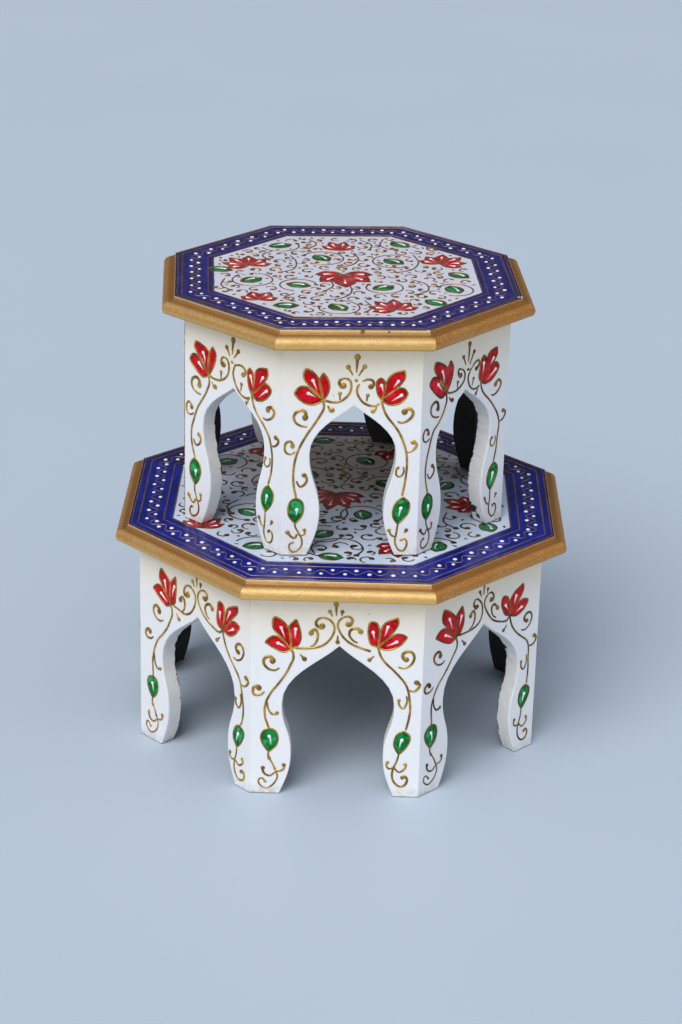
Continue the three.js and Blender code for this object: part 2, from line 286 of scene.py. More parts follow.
LARGE_FLOWERS = [
    (-4, 4, -100, 7, 26, 85), (-79, -53, 82, 5, 22, 54), (32, -69, -110, 4, 19, 58),
    (74, -10, 150, 5, 18, 85), (28, 72, -60, 5, 18, 85), (-50, 72, -40, 5, 18, 85),
]
LARGE_LEAVES = [
    (-70, 48, 30, 12), (-13, 87, 10, 0), (13, 55, -50, 13), (25, 20, -40, 12), (60, 20, 60, 0),
    (12, -27, 95, 13), (-53, -28, -30, 13), (-10, -56, 40, 12), (-47, -75, 10, 13), (-5, -87, -10, 0),
    (54, -69, 80, 12), (83, -40, -75, 0), (-80, 0, 80, 11), (-40, 20, -60, 14), (45, 45, 20, 12),
    (-20, 30, 70, 13), (40, -35, -20, 12), (80, 30, 100, 11), (-45, 45, 10, 0), (-28, -8, 20, 11),
]
SMALL_FLOWERS = [
    (-1, 1, -90, 5, 24, 88), (-54, 16, 108, 6, 20, 90), (-50, -46, 84, 4, 17, 62),
    (24, -62, 108, 6, 20, 85), (55, 21, 62, 6, 20, 88), (-1, 45, 92, 4, 21, 42),
]
SMALL_LEAVES = [
    (-35, 55, 20, 12), (35, 58, -50, 13), (-12, 31, -60, 13), (29, 25, -45, 13), (-70, 9, -20, 0),
    (-53, -10, 35, 12), (-27, -19, -20, 11), (20, -23, 35, 11), (64, 0, -45, 0), (59, -26, -75, 11),
    (47, -49, -40, 0), (-35, -55, 0, 0), (-7, -58, -60, 12),
]
# Long vines, from which commas spring
LARGE_STEMS = [
    [(2, -19), (3, -28), (-2, -38), (-12, -40)], [(-20, 5), (-32, 4), (-42, 10), (-52, 6)],
    [(30, 0), (40, 6), (42, 16), (36, 28)], [(-60, -10), (-66, -20), (-62, -32)],
    [(60, -20), (58, -34), (66, -44)], [(-30, 40), (-30, 52), (-38, 60)], [(0, 20), (4, 32), (-4, 42)],
    [(10, 70), (6, 80), (12, 88)], [(-20, -62), (-24, -74), (-16, -84), (-4, -90)],
    [(38, -50), (42, -62), (38, -72), (42, -84)], [(86, 10), (82, 20), (70, 36), (66, 50)],
    [(-14, -84), (-16, -74), (-10, -65), (0, -62), (9, -66), (12.5, -76), (8, -86)],
    [(-86, 20), (-80, 30), (-84, 38)], [(-88, -10), (-84, -24), (-90, -34)],
    [(-30, -60), (-34, -72), (-30, -86)],
]
SMALL_STEMS = [
    [(1, -19), (2, -27), (0, -36), (-6, -43), (-14, -45)], [(5, 42), (9, 31), (5, 19), (-5, 12)],
    [(41, 38), (43, 24), (38, 10), (28, 4)], [(-30, 36), (-27, 24), (-29, 10), (-38, 3)],
    [(-10, -8), (-8, -20), (-14, -31)], [(8, -46), (11, -57), (7, -67)],
    [(36, -8), (44, -16), (44, -28), (36, -36)], [(12, 66), (18, 58), (16, 46)],
    [(-18, 68), (-14, 58), (-20, 48)], [(-40, 44), (-46, 36), (-42, 26)], [(54, 44), (50, 50), (52, 58)],
    [(-30, -34), (-36, -42), (-30, -48)], [(-68, -8), (-70, -20), (-64, -30)],
]
# The fill: how far apart commas spring from a vine, their line and dot, the room of a drop, and the least
# and greatest radius of commas of three sizes
LARGE_FILL = dict(spacing=13.0, line=1.05, dot=1.9, drop=2.8, curls=[(4.2, 5.6), (3.2, 4.0), (2.4, 3.0)])
SMALL_FILL = dict(spacing=10.0, line=0.9, dot=1.45, drop=2.0, curls=[(3.3, 4.3), (2.6, 3.2), (2.0, 2.4)])
# The borders: where the white field ends, the gold lines and their widths, the wave and how often it
# bends on a side, the dots beside it, places that are worn, in painted warm shade or bare as (x, y,
# size), and how much painted shade deepens the blue on each side, in the order of SIDE_GOLD_SHADE_SHARES
LARGE_BORDER = dict(
    white=96.1, lines=[(95.8, 0.9), (100.8, 0.8), (114.8, 0.9), (118.7, 0.8)],
    wave=107.7, swing=2.6, periods=7, inner=105.5, outer=109.9, dot=1.2, rise=0.6,
    worn=[], warm_shade=[(0, 55, 88)], bare=[], deep=[0.15, 0.6, 0.75, 0.6, 0.1, 0.0, 0.0, 0.0],
    field=[(0.54, 0.64, 0.81), (0.62, 0.715, 0.87)], blue=[(0.004, 0.009, 0.15), (0.008, 0.018, 0.32)])
SMALL_BORDER = dict(
    white=73.7, lines=[(74.3, 0.8), (77.2, 0.7), (91.7, 0.8), (94.2, 0.7)],
    wave=84.5, swing=2.2, periods=6, inner=82.3, outer=86.6, dot=1.15, rise=0.42,
    worn=[(4, -96.2, 1.5), (18, -96.4, 0.9), (-70, -69, 1.0)], warm_shade=[],
    bare=[(94.3, -38.6, 1.7), (38.8, -94.6, 1.1)], deep=[0.1, 0.1, 0.15, 0.1, 0.1, 0.0, 0.0, 0.0],
    field=[(0.62, 0.645, 0.77), (0.70, 0.72, 0.83)], blue=[(0.017, 0.014, 0.11), (0.033, 0.028, 0.23)])
WAVE_WIDTH = 0.75
WAVE_STEPS = 8  # for each bend there and back
FIELD_MARGIN = 1.2  # the drawing stays this clear of the border
TOP_PETAL = (0.7, 1.3)  # widths of the outline and of the white stroke
TOP_LEAF = (0.8, 1.25)
TOP_RISE = 0.55  # of the highest line
PETAL_WIDTH = 0.64  # for the room between the petals of a fan
OUTER_LOSS = 0.33  # how much shorter the outermost petals are
SCROLL_TURN = (230, 310)  # how far round a leaf a scroll goes, in degrees
SCROLL_GROWTH = -0.12
COMMA_TURN = (230, 350)
COMMA_GROWTH = (-0.75, -0.55)
DOT_SIZES = (0.85, 1.15)  # how unlike the hand-made dots are
COMMA_TRIES = 5000
DROP_TRIES = 9000
DROP_HALVES = (0.9, 1.5)  # half the length of a drop
DROP_WIDTHS = (0.6, 1.7)
DROP_DOTS = (0.75, 1.0)
PETAL_ROOM = 1.0  # kept free round a petal
SCROLL_ROOM = 0.6
VINE_ROOM = 0.5
COMMA_ROOM = 0.35
# Chipped edges: panel, across, up, how far behind its face, and size
LARGE_CHIPS = [(7, -23.5, 42, 9, 1.6), (1, 30, 66, 9, 1.8)]
SMALL_CHIPS = [(1, 20.5, 9, 8, 3.6), (1, 22, 4, 5, 2.0), (7, -17.5, 56, 9, 1.4)]


class Table:
    """One table of the nest, measured on its own nodes.

    Out from its axis, square to a side, lie the inner faces of its panels (inner), their faces (face) and
    the rim of the painted field (field, in millimetres). Two scales fit the drawing to the panels.
    """

    def __init__(self, name, turn, drawn):
        low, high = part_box(name + "_top_board")
        self.name = name
        self.body = name + "_table"
        self.turn = turn
        self.centre = (low + high) / 2
        self.top = high.z
        self.under = low.z
        panel_low, panel_high = self.local_box("front_panel")
        self.field = self.local_box("top_board")[1].x / MM - GOLD_EDGE
        self.face = -panel_low.y
        self.inner = -panel_high.y
        self.foot = panel_low.z
        self.half_side = self.face * math.tan(SIDE_ANGLE / 2)
        self.across_scale = self.half_side / drawn[0]
        self.up_scale = (panel_high.z - panel_low.z) / drawn[1]
        self.arches = [self.measure_arch(k) for k in range(len(SIDES))]

    def local(self, point):
        """A point of the frame as seen from this table's axis, its front side square to Y."""
        away = Vector((point.x - self.centre.x, point.y - self.centre.y, point.z))
        return Matrix.Rotation(-self.turn, 3, "Z") @ away

    def world(self, x, y, z):
        """The other way round: a point of the frame for one that is seen from this table's axis."""
        turned = Matrix.Rotation(self.turn, 3, "Z") @ Vector((x, y, 0))
        return Vector((turned.x + self.centre.x, turned.y + self.centre.y, z))

    def local_points(self, part):
        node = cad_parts[self.name + "_" + part]
        return [self.local(vertex.co) for vertex in node.data.vertices]

    def local_box(self, part):
        points = self.local_points(part)
        low = Vector([min(p[i] for p in points) for i in range(3)])
        high = Vector([max(p[i] for p in points) for i in range(3)])
        return low, high

    def measure_arch(self, k):
        """The left and right edge of a panel's arch on its face, as (up, across) in drawing units."""
        rim = 1.5 * MM  # the arch's edge is sought this close to the face, and this clear of the mitres
        turn = Matrix.Rotation(-SIDE_ANGLE * k, 3, "Z")
        points = [turn @ p for p in self.local_points(SIDES[k] + "_panel")]
        edge = [p for p in points if p.y < rim - self.face and abs(p.x) < self.half_side - rim]
        point = max(edge, key=lambda p: p.z)
        halves = []
        for way in (-1, 1):
            half = sorted((p.z, p.x) for p in edge if (p.x - point.x) * way >= 0)
            halves.append([((z - self.foot) / self.up_scale, x / self.across_scale) for z, x in half])
        return halves

    def arch_edges(self, k, up):
        """Where panel k's arch begins and ends at a height, or nothing above its point."""
        edges = []
        for half in self.arches[k]:
            if up > half[-1][0]:
                return None
            edge = half[0][1]
            for (low, near), (high, far) in zip(half, half[1:]):
                if low <= up <= high:
                    edge = near + (far - near) * (up - low) / max(high - low, 1e-6)
            edges.append(edge)
        return edges

    def panel_place(self, k):
        """Maps (across, up, lift) of panel k's drawing to the frame."""
        angle = SIDE_ANGLE * k

        def place(across, up, lift):
            out = self.face + lift * MM
            along = across * self.across_scale
            x = math.sin(angle) * out + math.cos(angle) * along
            y = -math.cos(angle) * out + math.sin(angle) * along
            return self.world(x, y, self.foot + up * self.up_scale)

        return place

    def top_place(self):
        """Maps (x, y, lift) of the top's drawing to the frame."""

        def place(x, y, lift):
            return self.world(x * MM, y * MM, self.top + lift * MM)

        return place


# Lines and shapes in the drawing's plane

def smooth(line):
    """A curve through the points of a line."""
    if len(line) < 3:
        return list(line)
    ends = [line[0]] + list(line) + [line[-1]]
    curve = []
    for a, b, c, d in zip(ends, ends[1:], ends[2:], ends[3:]):
        for i in range(SPLINE_STEPS):
            t = i / SPLINE_STEPS
            curve.append(tuple(
                0.5 * (2 * b[m] + (c[m] - a[m]) * t + (2 * a[m] - 5 * b[m] + 4 * c[m] - d[m]) * t ** 2
                       + (3 * b[m] - a[m] - 3 * c[m] + d[m]) * t ** 3) for m in range(2)))
    curve.append(tuple(line[-1]))
    return curve


def lengths(line):
    """How far along the line each of its points lies."""
    far = [0.0]
    for a, b in zip(line, line[1:]):
        far.append(far[-1] + math.dist(a, b))
    return far


def point_at(line, far, distance):
    """The point at a distance along a line, whose points lie as far along it as the list far says."""
    for i in range(1, len(line)):
        if distance <= far[i] or i == len(line) - 1:
            span = max(far[i] - far[i - 1], 1e-9)
            share = min(max((distance - far[i - 1]) / span, 0), 1)
            return tuple(line[i - 1][m] + (line[i][m] - line[i - 1][m]) * share for m in range(2))
    return line[-1]


def arc(x, y, radius, start, sweep, growth=0.0):
    """Points on a turn round (x, y), in degrees, whose radius grows by a share of itself on the way."""
    steps = max(4, int(abs(sweep) / ARC_STEP))
    points = []
    for i in range(steps + 1):
        share = i / steps
        angle = math.radians(start + sweep * share)
        reach = radius * (1 + growth * share)
        points.append((x + math.cos(angle) * reach, y + math.sin(angle) * reach))
    return points


class Relief:
    """Raised shapes of one paint, gathered into one piece on one painted face."""

    def __init__(self, place, cap, keep_on=None):
        self.place = place
        self.cap = cap
        self.keep_on = keep_on
        self.points = []
        self.faces = []
        self.depths = []

    def skin(self, rings, loop=False):
        """Joins rings of (across, up, lift, depth) points into a closed shape."""
        start = len(self.points)
        count = len(rings[0])
        for ring in rings:
            for across, up, lift, depth in ring:
                self.points.append(self.place(across, up, lift))
                self.depths.append(depth)
        for i in range(len(rings) if loop else len(rings) - 1):
            here = start + i * count
            there = start + (i + 1) % len(rings) * count
            for j in range(count):
                after = (j + 1) % count
                self.faces.append((here + j, here + after, there + after, there + j))
        if not loop:
            last = start + (len(rings) - 1) * count
            self.faces.append([start + j for j in reversed(range(count))])
            self.faces.append([last + j for j in range(count)])

    def stroke(self, line, start_width, end_width, start_dot=0.0, end_dot=0.0, base=0.0):
        """A half-round line. A dot is the radius of a round blob at that end, and base lifts the line."""
        line = smooth(line)
        far = lengths(line)
        total = far[-1]
        halves = (max(start_width / 2, start_dot), max(end_width / 2, end_dot))
        turns = [math.radians(turn) for turn in ROUND_TURNS]
        stations = [halves[0] * (1 - math.cos(turn)) for turn in turns]
        stations += [total - halves[1] * (1 - math.cos(turn)) for turn in turns]
        stations += [LINE_STEP * i for i in range(1, int(total / LINE_STEP))]
        stations = sorted(s for s in stations if 0 < s < total)
        kept = stations[:1]
        for station in stations[1:]:
            if station - kept[-1] > RING_GAP:
                kept.append(station)
        rings = []
        for station in kept:
            across, up = point_at(line, far, station)
            ahead = point_at(line, far, min(station + LOOK, total))
            behind = point_at(line, far, max(station - LOOK, 0))
            reach = max(math.dist(ahead, behind), 1e-6)
            side = ((behind[1] - ahead[1]) / reach, (ahead[0] - behind[0]) / reach)
            half = start_width / 2 + (end_width - start_width) / 2 * station / total
            half = rounded(half, station, start_dot)
            half = rounded(half, total - station, end_dot)
            if self.keep_on:
                across, up = self.keep_on(across, up, half)
            rings.append(self.arch(across, up, side, half, station / total, base))
        self.skin(rings)

    def arch(self, across, up, side, half, depth, base=0.0):
        """The section of a line: half round above, and flat just under the face it lies on."""
        height = base + min(self.cap, HEIGHT_SHARE * 2 * half)
        ring = []
        for i in range(ARCH_STEPS + 1):
            turn = math.pi * i / ARCH_STEPS
            reach = math.cos(turn) * half
            lift = (height + SINK) * math.sin(turn) - SINK
            ring.append((across + side[0] * reach, up + side[1] * reach, lift, depth))
        return ring

    def dome(self, outline, rise):
        """A rounded cushion of paint inside an outline."""
        middle = tuple(sum(p[m] for p in outline) / len(outline) for m in range(2))
        rings = []
        for i in range(DOME_RINGS + 1):
            turn = math.pi / 2 * i / DOME_RINGS
            size = max(math.cos(turn), DOME_TIP)
            lift = (rise + SINK) * math.sin(turn) - SINK
            ring = []
            for point in outline:
                across = middle[0] + (point[0] - middle[0]) * size
                up = middle[1] + (point[1] - middle[1]) * size
                if self.keep_on:
                    across, up = self.keep_on(across, up, 0)
                ring.append((across, up, lift, 1 - size))
            rings.append(ring)
        self.skin(rings)

    def blob(self, x, y, radius, rise):
        """A round dot of paint."""
        self.dome(arc(x, y, radius, 0, 360)[:-1], rise)

    def ring(self, apothem, width):
        """A line round the eight sides, its corners mitred."""
        rings = []
        for k in range(len(SIDES)):
            angle = SIDE_ANGLE * (k + 0.5)
            mitre = math.cos(SIDE_ANGLE / 2)
            side = (math.cos(angle) / mitre, math.sin(angle) / mitre)
            rings.append(self.arch(apothem * side[0], apothem * side[1], side, width / 2, k / len(SIDES)))
        self.skin(rings, loop=True)

    def piece(self, name, table, slot, material):
        """The gathered shapes as one piece, which rides its table."""
        mesh = bpy.data.meshes.new(name)
        mesh.from_pydata(self.points, [], self.faces)
        shape = bmesh.new()
        shape.from_mesh(mesh)
        bmesh.ops.recalc_face_normals(shape, faces=shape.faces)
        shape.to_mesh(mesh)
        shape.free()
        depth = mesh.attributes.new("paint_depth", "FLOAT", "POINT")
        depth.data.foreach_set("value", self.depths)
        mesh.shade_smooth()
        mesh.materials.append(material)
        piece = bpy.data.objects.new(name, mesh)
        bpy.context.scene.collection.objects.link(piece)
        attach(piece, table.body)
        return piece


def chord(distance, radius):
    """Half the width of a disc, at a distance in from its rim."""
    return math.sqrt(max(radius ** 2 - (radius - distance) ** 2, 1e-6))


def rounded(half, distance, dot):
    """Half the width of a line near its end, which is round, or a round dot."""
    if distance < half:
        half = chord(distance, half)
    if distance < 2 * dot:
        half = max(half, chord(distance, dot))
    return half


# Materials

class Value:
    """What a node gives. Numbers of this kind add, subtract and multiply."""

    def __init__(self, nodes, socket):
        self.nodes = nodes
        self.socket = socket

    def __add__(self, other):
        return self.nodes.math("ADD", self, other)

    def __mul__(self, other):
        return self.nodes.math("MULTIPLY", self, other)

    def __sub__(self, other):
        return self.nodes.math("SUBTRACT", self, other)

    def __rsub__(self, other):
        return self.nodes.math("SUBTRACT", other, self)

    def larger(self, other):
        return self.nodes.math("MAXIMUM", self, other)

    def ramp(self, low, high, to_low, to_high, kind="LINEAR"):
        inputs = (self, low, high, to_low, to_high)
        return self.nodes.add("ShaderNodeMapRange", inputs, interpolation_type=kind)

    def step(self, low, high, to_low=0.0, to_high=1.0):
        """Goes smoothly from to_low to to_high as this goes from low to high."""
        return self.ramp(low, high, to_low, to_high, "SMOOTHSTEP")

    def beyond(self, level, low, high, to_low=0.0, to_high=1.0):
        """A step between two places that are given in millimetres from a level."""
        return self.step(level + low * MM, level + high * MM, to_low, to_high)


class Nodes:
    """A node tree in the making, with short ways to add and join its nodes."""

    def __init__(self, tree):
        self.tree = tree

    def put(self, socket, value):
        if isinstance(value, Value):
            self.tree.links.new(value.socket, socket)
        elif isinstance(value, tuple) and len(value) == 3 and socket.type == "RGBA":
            socket.default_value = (*value, 1)
        elif value is not None:
            socket.default_value = value

    def add(self, kind, inputs=(), output=0, **settings):
        """Adds a node, feeds its inputs in order or by name, and gives one of its outputs."""
        node = self.tree.nodes.new(kind)
        for name, value in settings.items():
            setattr(node, name, value)
        for key, value in inputs.items() if isinstance(inputs, dict) else enumerate(inputs):
            self.put(node.inputs[key], value)
        return Value(self, node.outputs[output])

    def math(self, operation, a, b=None, c=None):
        return self.add("ShaderNodeMath", (a, b, c), operation=operation)

    def split(self, vector):
        first = self.add("ShaderNodeSeparateXYZ", (vector,))
        return [Value(self, output) for output in first.socket.node.outputs]


class Paint(Nodes):
    """A material in the making."""

    def __init__(self, name):
        self.material = bpy.data.materials.new(name)
        self.material.use_nodes = True
        super().__init__(self.material.node_tree)
        self.shader = self.tree.nodes["Principled BSDF"]
        self.coords = self.add("ShaderNodeTexCoord", output="Object")

    def finish(self, **sockets):
        """Feeds the shader, its sockets named in small letters."""
        for name, value in sockets.items():
            self.put(self.shader.inputs[name.replace("_", " ").title().replace("Ior", "IOR")], value)
        return self.material

    def vector(self, x, y, z):
        return self.add("ShaderNodeCombineXYZ", (x, y, z))

    def depth(self):
        """How far in from its edge, or along its line, the raised paint is."""
        return self.add("ShaderNodeAttribute", output="Fac", attribute_name="paint_depth")

    def noise(self, scale, detail=3.0, roughness=0.55, distortion=0.0, at=None):
        inputs = dict(Scale=scale, Detail=detail, Roughness=roughness, Distortion=distortion)
        return self.add("ShaderNodeTexNoise", dict(inputs, Vector=at or self.coords), "Fac")

    def mix(self, share, a, b):
        return self.add("ShaderNodeMix", {0: share, 6: a, 7: b}, 2, data_type="RGBA")

    def bump(self, height, distance, strength=1.0, normal=None):
        inputs = dict(Strength=strength, Distance=distance, Height=height, Normal=normal)
        return self.add("ShaderNodeBump", inputs)

    def away(self, spot):
        """How far off a place is."""
        return self.add("ShaderNodeVectorMath", (self.coords, spot), "Value", operation="DISTANCE")

    def near(self, spot, size):
        """One inside a ragged spot round a place, and nought outside it."""
        ragged = (self.noise(500.0, 3.0, 0.7) - 0.5) * (size * 2.2)
        return (self.away(spot) + ragged).step(size * 0.8, size, 1.0, 0.0)

    def by_side(self, side, shares):
        """The share that a list has for the side of the table."""
        total = 0.0
        for k, share in enumerate(shares):
            total = self.math("COMPARE", side, k, 0.5) * share + total
        return total

    def octagon(self, table):
        """How far a place is from a table's axis square to a side, then along it, up, and which side."""
        axis = dict(Location=(table.centre.x, table.centre.y, 0), Rotation=(0, 0, table.turn))
        seen = self.add("ShaderNodeMapping", dict(axis, Vector=self.coords), vector_type="TEXTURE")
        x, y, z = self.split(seen)
        side_x = self.math("ABSOLUTE", x)
        side_y = self.math("ABSOLUTE", y)
        slant = (side_x + side_y) * math.sqrt(0.5)
        out = side_x.larger(side_y).larger(slant)
        angle = self.math("ARCTAN2", y, x) + (SIDE_ANGLE / 2 + 2 * math.pi)
        phase = self.math("FLOORED_MODULO", angle, SIDE_ANGLE) - SIDE_ANGLE / 2
        turns = self.math("FLOOR", self.math("DIVIDE", angle, SIDE_ANGLE))
        side = self.math("FLOORED_MODULO", turns, len(SIDES))
        return out, out * self.math("TANGENT", phase), z, side


def board_paint(table, border):
    """White field, ultramarine band and gold edge, over a brown underside, with painted shade on the
    field, the band and the gold, and painted highlights on the gold.
    """
    paint = Paint(table.name + "_board_paint")
    out, along, z, side = paint.octagon(table)
    cloud = paint.noise(22.0)
    grain = paint.noise(900.0, 2.0)
    lap = paint.noise(260.0, at=paint.vector(along * 0.25, out, side))

    white = paint.mix(cloud, *border["field"])
    # painted warm shade on the field, where it lies under and behind the small table
    for x, y, size in border["warm_shade"]:
        away = paint.away(table.world(x * MM, y * MM, table.top))
        warm_shade = away.step(0.35 * size * MM, size * MM, 0.75, 0.0)
        white = paint.mix(warm_shade, white, (0.66, 0.55, 0.43))
    blue = paint.mix(lap.step(0.35, 0.7), *border["blue"])
    # painted shade: the blue darkens on the sides towards the back
    blue = paint.mix(paint.by_side(side, border["deep"]), blue, (0.014, 0.010, 0.04))
    dust = paint.noise(1500.0, 1.0).step(0.72, 0.8)
    blue = paint.mix(dust * 0.12, blue, (0.3, 0.3, 0.42))

    streak = paint.noise(150.0, 3.0, 0.6, 0.5, at=paint.vector(along, out * 2.5 + side, z * 2.5))
    flecks_and_highlight = paint.noise(900.0, 3.0, 0.7)
    smear = paint.noise(60.0, 3.0)
    # painted shade: the gold of the edges turned away from the light is browner, and the painted
    # highlights below fall only on the lit front edges
    brown = paint.by_side(side, SIDE_GOLD_SHADE_SHARES)
    front_lit = 1.0 - brown
    gold = paint.mix(streak.step(0.2, 0.8), (0.58, 0.37, 0.14), (0.65, 0.43, 0.18))
    gold = paint.mix(smear.step(0.5, 0.75, 0.0, 0.3), gold, (0.50, 0.23, 0.06))
    gold = paint.mix(brown * smear.step(0.25, 0.6, 0.65, 1.0), gold, (0.58, 0.24, 0.055))
    # lighter flecks: a grain in the gold, also painted lighter as small painted highlights
    gold = paint.mix(flecks_and_highlight.step(0.52, 0.66, 0.0, 0.5), gold, (0.93, 0.66, 0.30))
    # painted shade in the hollow of the cove
    cove_shade = z.beyond(table.top, -3.1, -2.3, 0.0, 0.85) * z.beyond(table.top, -1.5, -0.6, 1.0, 0.0)
    gold = paint.mix(cove_shade, gold, (0.34, 0.16, 0.045))
    # a painted highlight along the top of the gold lip, on the lit edges only
    lip_highlight = z.beyond(table.top, -0.9, -0.3, 0.0, 0.75) * front_lit
    gold = paint.mix(lip_highlight, gold, (1.0, 0.80, 0.50))
    # a painted highlight low on the bead, on the lit edges only
    bead_highlight = z.beyond(table.under, 1.0, 4.8, 0.85, 0.0) * front_lit
    gold = paint.mix(bead_highlight, gold, (1.0, 0.60, 0.15))
    # painted shade where the gold edge turns under the board
    underturn_shade = z.beyond(table.under, 0.5, 1.3, 0.6, 0.0)
    gold = paint.mix(underturn_shade, gold, (0.22, 0.10, 0.03))
    chip = paint.noise(60.0, 4.0, 0.75, at=paint.vector(along, z, side)).step(0.735, 0.75)
    for x, y, size in border["worn"]:
        spot = table.world(x * MM, y * MM, table.top - 0.5 * MM)
        chip = chip.larger(paint.near(spot, size * MM))
    gold = paint.mix(chip, gold, (0.25, 0.10, 0.05))

    reach = out + (paint.noise(120.0, 2.0) - 0.5) * (0.5 * MM)
    edge = table.field * MM
    low = z.beyond(table.under, 0.25, 0.7, 1.0, 0.0)
    in_gold = reach.beyond(edge, 0.25, 0.4).larger(low)
    from_gold = paint.math("ABSOLUTE", reach - (edge - 0.1 * MM))
    colour = paint.mix(reach.beyond(border["white"] * MM, 0.0, 0.15), white, blue)
    # a dark line along the rim of the blue, painted shade at the edge of the cove
    colour = paint.mix(from_gold.step(0.25 * MM, 0.75 * MM, 0.8, 0.0), colour, (0.012, 0.010, 0.05))
    colour = paint.mix(in_gold, colour, gold)
    for x, y, size in border["bare"]:
        spot = table.world(x * MM, y * MM, table.top)
        colour = paint.mix(paint.near(spot, size * MM), colour, (0.72, 0.68, 0.63))
    below = low * reach.beyond(table.face, 0.0, 1.0, 1.0, 0.0)
    colour = paint.mix(below, colour, (0.085, 0.052, 0.030))

    gilt = in_gold * (1.0 - below)
    metal = gilt * (0.65 - chip * 0.65)
    flat_rough = cloud.step(0.3, 0.7, 0.16, 0.26)
    gold_rough = streak.step(0.3, 0.7, 0.5, 0.4)
    rough = flat_rough * (1.0 - gilt) + gold_rough * gilt + below * 0.4
    normal = paint.bump(streak * (gilt * 0.14 + 0.04), 0.2 * MM)
    normal = paint.bump(flecks_and_highlight * gilt, 0.35 * MM, 0.7, normal)
    normal = paint.bump(paint.noise(130.0, 2.0), 0.12 * MM, 0.6, normal)
    normal = paint.bump(grain, 0.02 * MM, 0.5, normal)
    return paint.finish(base_color=colour, metallic=metal, roughness=rough, normal=normal,
                        specular_ior_level=0.18)


def panel_paint(table, chips):
    """White lacquer on the faces and the sawn arch, worn to black at its inner edge, and black inside,
    with painted warm light under the board and a painted shade line along the feet.
    """
    paint = Paint(table.name + "_panel_paint")
    out, along, z, side = paint.octagon(table)
    cloud = paint.noise(28.0)
    brushed = paint.noise(180.0, at=paint.vector(along * 4.0, side, z * 0.6))
    peel = paint.noise(420.0, 2.0)
    white = paint.mix(cloud, (0.80, 0.82, 0.86), (0.88, 0.895, 0.925))
    white = paint.mix(brushed.step(0.55, 0.8, 0.0, 0.35), white, (0.75, 0.765, 0.79))
    # painted warm light over the top of the panels, bounced from the gold edge
    gold_bounce_light = z.beyond(table.under, -48, -2, 0.0, 0.95)
    white = paint.mix(gold_bounce_light, white, (0.92, 0.83, 0.68))
    # more painted bounce light just under the board
    close_bounce_light = z.beyond(table.under, -16, -1, 0.0, 0.8)
    white = paint.mix(close_bounce_light, white, (0.98, 0.85, 0.62))

    cut = out.beyond(table.face, -1.2, -0.5, 1.0, 0.0)
    sawn = paint.noise(260.0, 5.0, 0.7)
    white = paint.mix(cut * sawn.step(0.4, 0.7, 0.15, 0.65), white, (0.76, 0.70, 0.60))
    stain = cut * paint.noise(34.0, 3.0).step(0.6, 0.72, 0.0, 0.55)
    white = paint.mix(stain, white, (0.55, 0.46, 0.27))

    low = z - table.foot
    grime = low.step(0.5 * MM, 7 * MM, 1.0, 0.0) * sawn.step(0.4, 0.65, 0.1, 0.6)
    white = paint.mix(grime, white, (0.42, 0.38, 0.33))
    speck = paint.noise(330.0, 2.0).step(0.775, 0.79, 0.0, 0.7)
    white = paint.mix(speck, white, (0.30, 0.27, 0.24))

    wander = paint.noise(170.0, 4.0, 0.7).step(0.3, 0.8, -0.3 * MM, 1.3 * MM)
    bite = paint.noise(75.0, 5.0, 0.75).step(0.64, 0.7, 0.0, 3.2 * MM)
    past = out - (wander + bite + (table.inner + 0.35 * MM))
    inside = past.step(-0.1 * MM, 0.25 * MM, 1.0, 0.0)
    for k, across, up, back, size in chips:
        spot = table.panel_place(k)(across, up, -back)
        inside = inside.larger(paint.near(spot, size * MM))
    black = paint.mix(brushed.step(0.4, 0.7), (0.010, 0.009, 0.009), (0.024, 0.021, 0.019))
    colour = paint.mix(inside, white, black)
    # painted shade: a dark line along the bottom of the feet, where they meet what they stand on
    foot_contact_shade = low.step(0.25 * MM, 0.75 * MM, 1.0, 0.0)
    colour = paint.mix(foot_contact_shade, colour, (0.12, 0.09, 0.07))

    rough = cloud.step(0.3, 0.7, 0.2, 0.3) + cut * 0.22
    rough = rough.larger(inside * 0.55).larger(foot_contact_shade * 0.8)
    normal = paint.bump(sawn * (cut * 0.9 + 0.06), 0.35 * MM)
    normal = paint.bump(brushed, 0.05 * MM, 0.5, normal)
    normal = paint.bump(peel, 0.03 * MM, 0.4, normal)
    normal = paint.bump(paint.noise(60.0, 1.0), 0.3 * MM, 0.35, normal)
    return paint.finish(base_color=colour, roughness=rough, normal=normal)


def relief_gold(name, dark, light):
    """Bronze gold paint squeezed into a raised line."""
    paint = Paint(name)
    cloud = paint.noise(160.0)
    grain = paint.noise(1800.0, 2.0)
    colour = paint.mix(cloud.step(0.35, 0.65), dark, light)
    colour = paint.mix(grain.step(0.6, 0.8, 0.0, 0.4), colour, (0.80, 0.58, 0.22))
    rough = grain.step(0.3, 0.7, 0.3, 0.46)
    normal = paint.bump(paint.noise(420.0, 2.0), 0.15 * MM, 0.6)
    return paint.finish(base_color=colour, metallic=0.75, roughness=rough, normal=normal)


def enamel(name, gloss, rim, deep, light, thin):
    """Glossy see-through colour, dark against its outline as painted shade, and paler here and there
    where it lies thin.
    """
    paint = Paint(name)
    pool = paint.noise(240.0, 3.0, 0.6, 1.0)
    full = paint.mix(pool.step(0.35, 0.65), deep, light)
    wash = paint.noise(110.0, 2.0).step(0.52, 0.62, 0.0, 0.75)
    full = paint.mix(wash, full, thin)
    wander = paint.depth() + (pool - 0.5) * 0.35
    # the rim colour is painted shade along the raised outline
    colour = paint.mix(wander.step(0.02, 0.3), rim, full)
    rough = pool.step(0.3, 0.7, 0.07, 0.14)
    normal = paint.bump(pool, 0.2 * MM, 0.6)
    return paint.finish(base_color=colour, roughness=rough, normal=normal, specular_ior_level=gloss)


